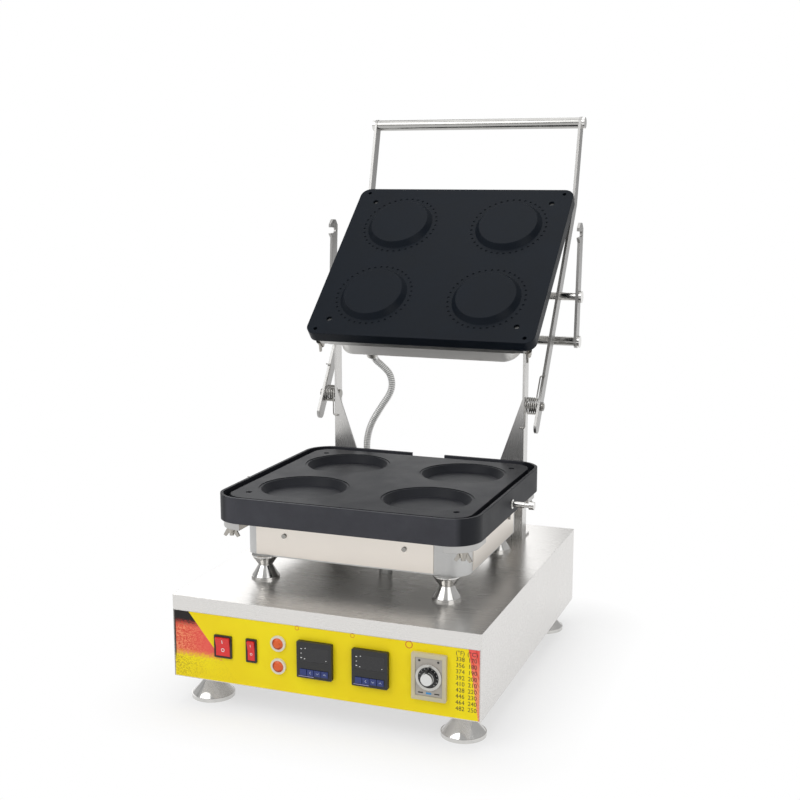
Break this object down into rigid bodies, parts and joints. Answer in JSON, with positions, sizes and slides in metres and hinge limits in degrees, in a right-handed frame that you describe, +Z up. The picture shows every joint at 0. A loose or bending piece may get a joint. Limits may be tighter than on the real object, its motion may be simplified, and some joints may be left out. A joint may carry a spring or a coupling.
{
  "type": "egg tart maker",
  "caption": "Countertop cooker with a lower mould block of round tart cavities, a hinged heated upper mould on two bent arms, a latch and a front control panel.",
  "frame": {"origin": "on the surface it stands on, below the middle of the whole outline with the head open", "axes": "+Z up, front with the control panel towards -Y, hinge axis along X"},
  "size_m": [0.43, 0.6644, 0.7805],
  "materials": {
    "stainless_sheet": "brushed",
    "polished_steel": "polished",
    "dark_steel": "blackened",
    "cast_aluminium": "satin cast",
    "black_non_stick": "black non-stick coating",
    "conduit_steel": "satin",
    "nickel_gland": "nickel plated",
    "panel_film": "printed film",
    "black_plastic": "moulded",
    "terminal_plastic": "moulded",
    "dark_window": "smooth",
    "blue_key": "membrane",
    "beige_plastic": "moulded",
    "grey_face": "printed",
    "red_plastic": "smooth",
    "white_plastic": "smooth",
    "orange_lens": "clear tinted"
  },
  "bodies": {
    "base": {"base_conduit_gland": "nickel_gland", "base_cover": "stainless_sheet", "base_pan": "stainless_sheet", "conduit_lower": "conduit_steel", "contactor": "black_plastic", "controller_windows": "dark_window", "feet": "polished_steel", "foot_nuts": "dark_steel", "front_panel": "stainless_sheet", "hinge_bolts": "polished_steel", "lock_pins": "polished_steel", "lower_heater_plate": "cast_aluminium", "lower_heating_element": "dark_steel", "lower_mould_block": "black_non_stick", "lower_side_sheets": "stainless_sheet", "lower_tray": "cast_aluminium", "lower_wing_nuts": "polished_steel", "machine_screws": "polished_steel", "mains_gland": "nickel_gland", "panel_film": "panel_film", "pilot_bezels": "white_plastic", "pilot_lenses": "orange_lens", "posts": "polished_steel", "switch_frames": "black_plastic", "temperature_controllers": "black_plastic", "terminal_strip": "terminal_plastic", "timer_body": "beige_plastic", "timer_face": "grey_face", "torsion_springs": "polished_steel", "uprights": "stainless_sheet", "wire_duct": "stainless_sheet"},
    "lid_frame": {"arm_left": "stainless_sheet", "arm_right": "stainless_sheet", "handle_tube": "polished_steel", "handle_screws": "polished_steel"},
    "head": {"upper_mould_plate": "black_non_stick", "upper_plate_screws": "dark_steel", "upper_heater_plate": "cast_aluminium", "upper_heating_element": "dark_steel", "upper_cover": "stainless_sheet", "upper_wing_nuts": "polished_steel", "head_lugs": "stainless_sheet", "head_pivot_pins": "polished_steel", "head_conduit_gland": "nickel_gland", "conduit_upper": "conduit_steel"},
    "latch": {"latch_bar_left": "stainless_sheet", "latch_bar_right": "stainless_sheet", "latch_tube": "polished_steel", "latch_screws": "polished_steel"},
    "power_rocker": {"power_rocker": "red_plastic"},
    "second_rocker": {"second_rocker": "red_plastic"},
    "timer_knob": {"timer_knob": "polished_steel"},
    "key_left_1": {"key_left_1": "blue_key"},
    "key_left_2": {"key_left_2": "blue_key"},
    "key_left_3": {"key_left_3": "blue_key"},
    "key_left_4": {"key_left_4": "blue_key"},
    "key_right_1": {"key_right_1": "blue_key"},
    "key_right_2": {"key_right_2": "blue_key"},
    "key_right_3": {"key_right_3": "blue_key"},
    "key_right_4": {"key_right_4": "blue_key"}
  },
  "joints": [
    {"name": "lid_lift", "type": "hinge", "parent": "base", "child": "lid_frame", "pos_m": [0, 0.09375, 0.3535], "axis": [1, 0, 0], "range_deg": [0, 125.91], "deforming": ["torsion_springs", "conduit_lower", "conduit_upper"]},
    {"name": "head_tilt", "type": "hinge", "parent": "lid_frame", "child": "head", "pos_m": [0, 0.19673, 0.50734], "axis": [1, 0, 0], "range_deg": [0, 12.71], "deforming": ["conduit_upper", "conduit_lower"]},
    {"name": "latch_swing", "type": "hinge", "parent": "head", "child": "latch", "pos_m": [0, 0.19673, 0.50734], "axis": [1, 0, 0], "range_deg": [-10, 41.4]},
    {"name": "power_switch", "type": "hinge", "parent": "base", "child": "power_rocker", "pos_m": [-0.1375, -0.31965, 0.088], "axis": [1, 0, 0], "range_deg": [-14, 0]},
    {"name": "second_switch", "type": "hinge", "parent": "base", "child": "second_rocker", "pos_m": [-0.0965, -0.31965, 0.088], "axis": [1, 0, 0], "range_deg": [-14, 0]},
    {"name": "timer_turn", "type": "hinge", "parent": "base", "child": "timer_knob", "pos_m": [0.1461, -0.32425, 0.088], "axis": [0, 1, 0], "range_deg": [0, 280]},
    {"name": "press_left_1", "type": "slide", "parent": "base", "child": "key_left_1", "axis": [0, 1, 0], "range_m": [0, 0.0006], "stiffness_N_per_m": 1500},
    {"name": "press_left_2", "type": "slide", "parent": "base", "child": "key_left_2", "axis": [0, 1, 0], "range_m": [0, 0.0006], "stiffness_N_per_m": 1500},
    {"name": "press_left_3", "type": "slide", "parent": "base", "child": "key_left_3", "axis": [0, 1, 0], "range_m": [0, 0.0006], "stiffness_N_per_m": 1500},
    {"name": "press_left_4", "type": "slide", "parent": "base", "child": "key_left_4", "axis": [0, 1, 0], "range_m": [0, 0.0006], "stiffness_N_per_m": 1500},
    {"name": "press_right_1", "type": "slide", "parent": "base", "child": "key_right_1", "axis": [0, 1, 0], "range_m": [0, 0.0006], "stiffness_N_per_m": 1500},
    {"name": "press_right_2", "type": "slide", "parent": "base", "child": "key_right_2", "axis": [0, 1, 0], "range_m": [0, 0.0006], "stiffness_N_per_m": 1500},
    {"name": "press_right_3", "type": "slide", "parent": "base", "child": "key_right_3", "axis": [0, 1, 0], "range_m": [0, 0.0006], "stiffness_N_per_m": 1500},
    {"name": "press_right_4", "type": "slide", "parent": "base", "child": "key_right_4", "axis": [0, 1, 0], "range_m": [0, 0.0006], "stiffness_N_per_m": 1500}
  ],
  "couplings": [
    {"joint": "head_tilt", "follows": "lid_lift", "ratio": 0.10083}
  ]
}
